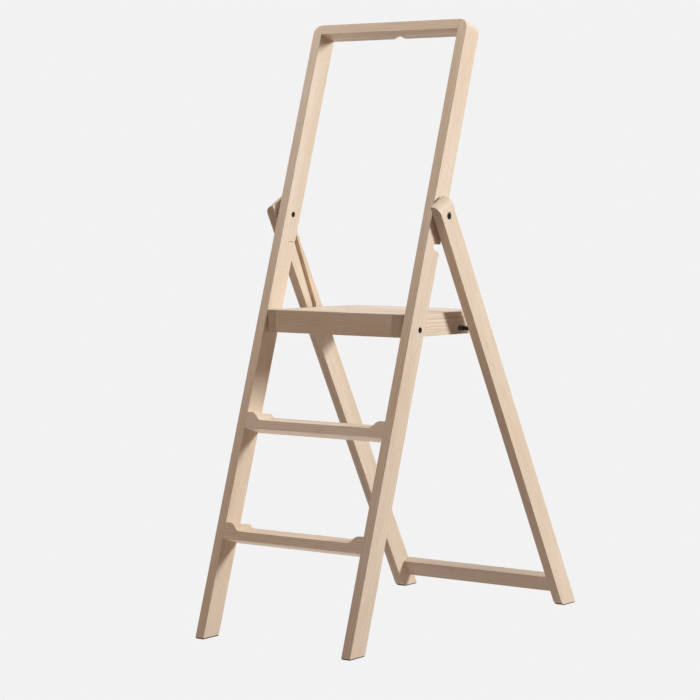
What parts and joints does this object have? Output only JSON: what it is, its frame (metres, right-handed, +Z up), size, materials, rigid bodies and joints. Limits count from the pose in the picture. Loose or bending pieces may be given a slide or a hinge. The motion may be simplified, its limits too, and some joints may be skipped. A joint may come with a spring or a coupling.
{
  "type": "step ladder",
  "caption": "Folding wooden step ladder with a tall hand-rail frame, scooped rungs, a deep swing-up platform and rear legs that fold alongside the stiles.",
  "frame": {"origin": "on the floor, below the centre of the open ladder's box", "axes": "+Z up, +Y from the front frame to the rear legs, X across the ladder"},
  "size_m": [0.3914, 0.6878, 1.0997],
  "materials": {
    "beech": "white-oiled, satin",
    "black_steel": "black oxide, satin",
    "black_nylon": "matt",
    "zinc_steel": "zinc plated",
    "foot_rubber": "matt"
  },
  "bodies": {
    "front_frame": {"stile_left": "beech", "stile_right": "beech", "top_rail": "beech", "upper_rung": "beech", "lower_rung": "beech", "top_rail_dowels": "beech", "upper_rung_dowels": "beech", "lower_rung_dowels": "beech", "front_foot_pads": "foot_rubber", "hinge_sleeve_nuts": "black_steel", "hinge_bolts": "black_steel", "hinge_washers": "black_nylon", "platform_washers": "black_nylon"},
    "rear_frame": {"rear_leg_left": "beech", "rear_leg_right": "beech", "crossbar": "beech", "crossbar_dowels": "beech", "rear_foot_pads": "foot_rubber"},
    "platform": {"platform_panel": "beech", "platform_front_rail": "beech", "platform_rear_rail": "beech", "platform_side_rail_left": "beech", "platform_side_rail_right": "beech", "panel_batten_left": "beech", "panel_batten_right": "beech", "batten_screws": "zinc_steel", "platform_front_dowels": "beech", "platform_rear_dowels": "beech", "platform_pivot_bolts": "black_steel", "platform_pivot_inserts": "zinc_steel", "guide_rod": "black_steel", "rod_sleeves": "black_nylon"}
  },
  "joints": [
    {"name": "rear_frame_fold", "type": "hinge", "parent": "front_frame", "child": "rear_frame", "pos_m": [0, -0.07354, 0.74978], "axis": [-1, 0, 0], "range_deg": [0, 46.2]},
    {"name": "platform_fold", "type": "hinge", "parent": "front_frame", "child": "platform", "pos_m": [0, -0.13214, 0.55112], "axis": [1, 0, 0], "range_deg": [0, 72.9]}
  ],
  "couplings": [
    {"joint": "platform_fold", "follows": "rear_frame_fold", "ratio": 1.578}
  ]
}
